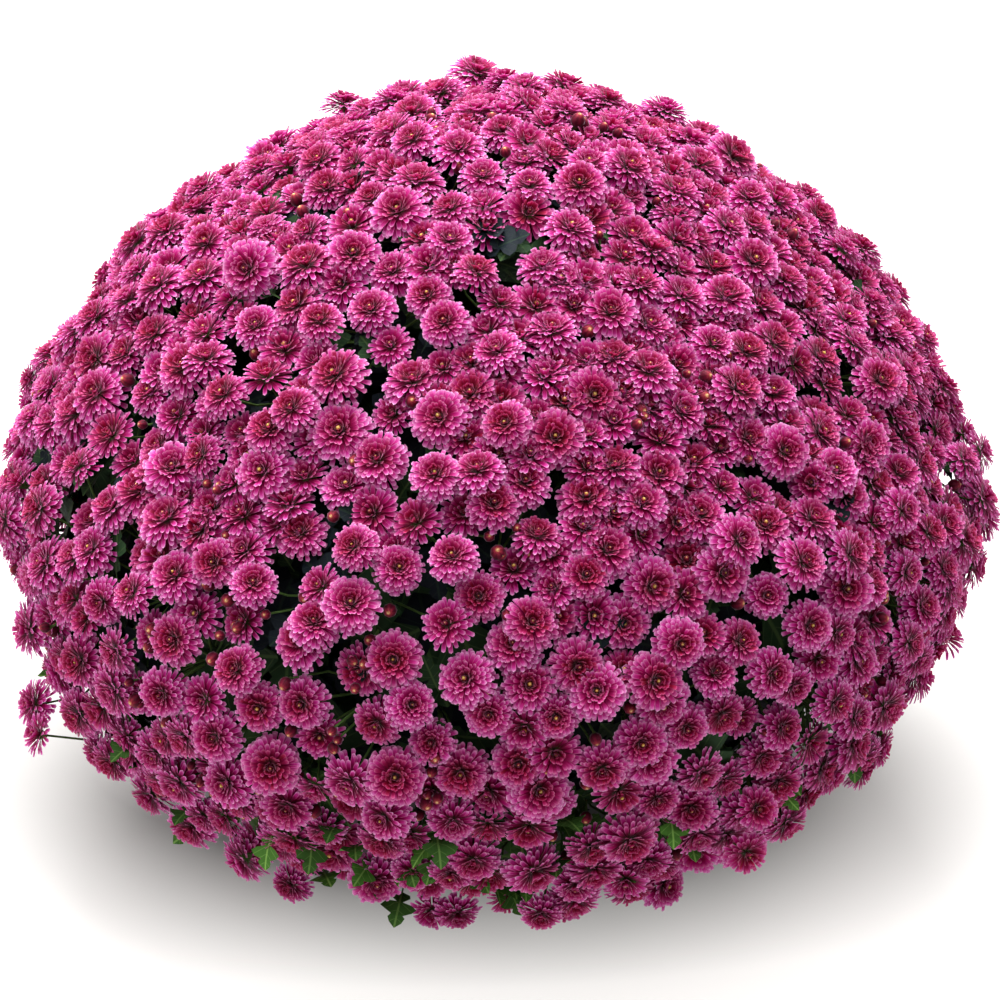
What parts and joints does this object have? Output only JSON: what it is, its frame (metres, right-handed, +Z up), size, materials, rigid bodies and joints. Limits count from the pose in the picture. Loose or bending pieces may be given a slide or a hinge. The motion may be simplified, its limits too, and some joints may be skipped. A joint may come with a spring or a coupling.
{
  "type": "pot chrysanthemum",
  "caption": "Potted chrysanthemum in full bloom: a ball-shaped mound of double magenta-pink blooms on leafy branches, grown from a woody crown in a plain pot of soil.",
  "frame": {"origin": "middle of the underside of the pot, on the surface that it stands on", "axes": "+Z up, -Y towards the side of the mound seen from the front, +X to its right"},
  "size_m": [0.6296, 0.6258, 0.5086],
  "materials": {
    "petal": "soft matte petals, magenta pink with paler lilac tips and dark crimson throats",
    "leaf": "matte leaf with a faint sheen, on fresh green stems",
    "wood": "dull brown bark",
    "soil": "dull crumbly potting soil",
    "pot": "satin moulded plastic"
  },
  "bodies": {
    "root": {"pot": "pot", "soil": "soil", "woody_crown": "wood", "leader": "leaf", "bunch_top": "petal", "leafy_branch_01": "leaf", "bunch_side_01": "petal", "leafy_branch_02": "leaf", "bunch_side_02": "petal", "leafy_branch_03": "leaf", "bunch_side_03": "petal", "leafy_branch_04": "leaf", "bunch_side_04": "petal", "leafy_branch_05": "leaf", "bunch_side_05": "petal", "leafy_branch_06": "leaf", "bunch_side_06": "petal"}
  },
  "joints": []
}
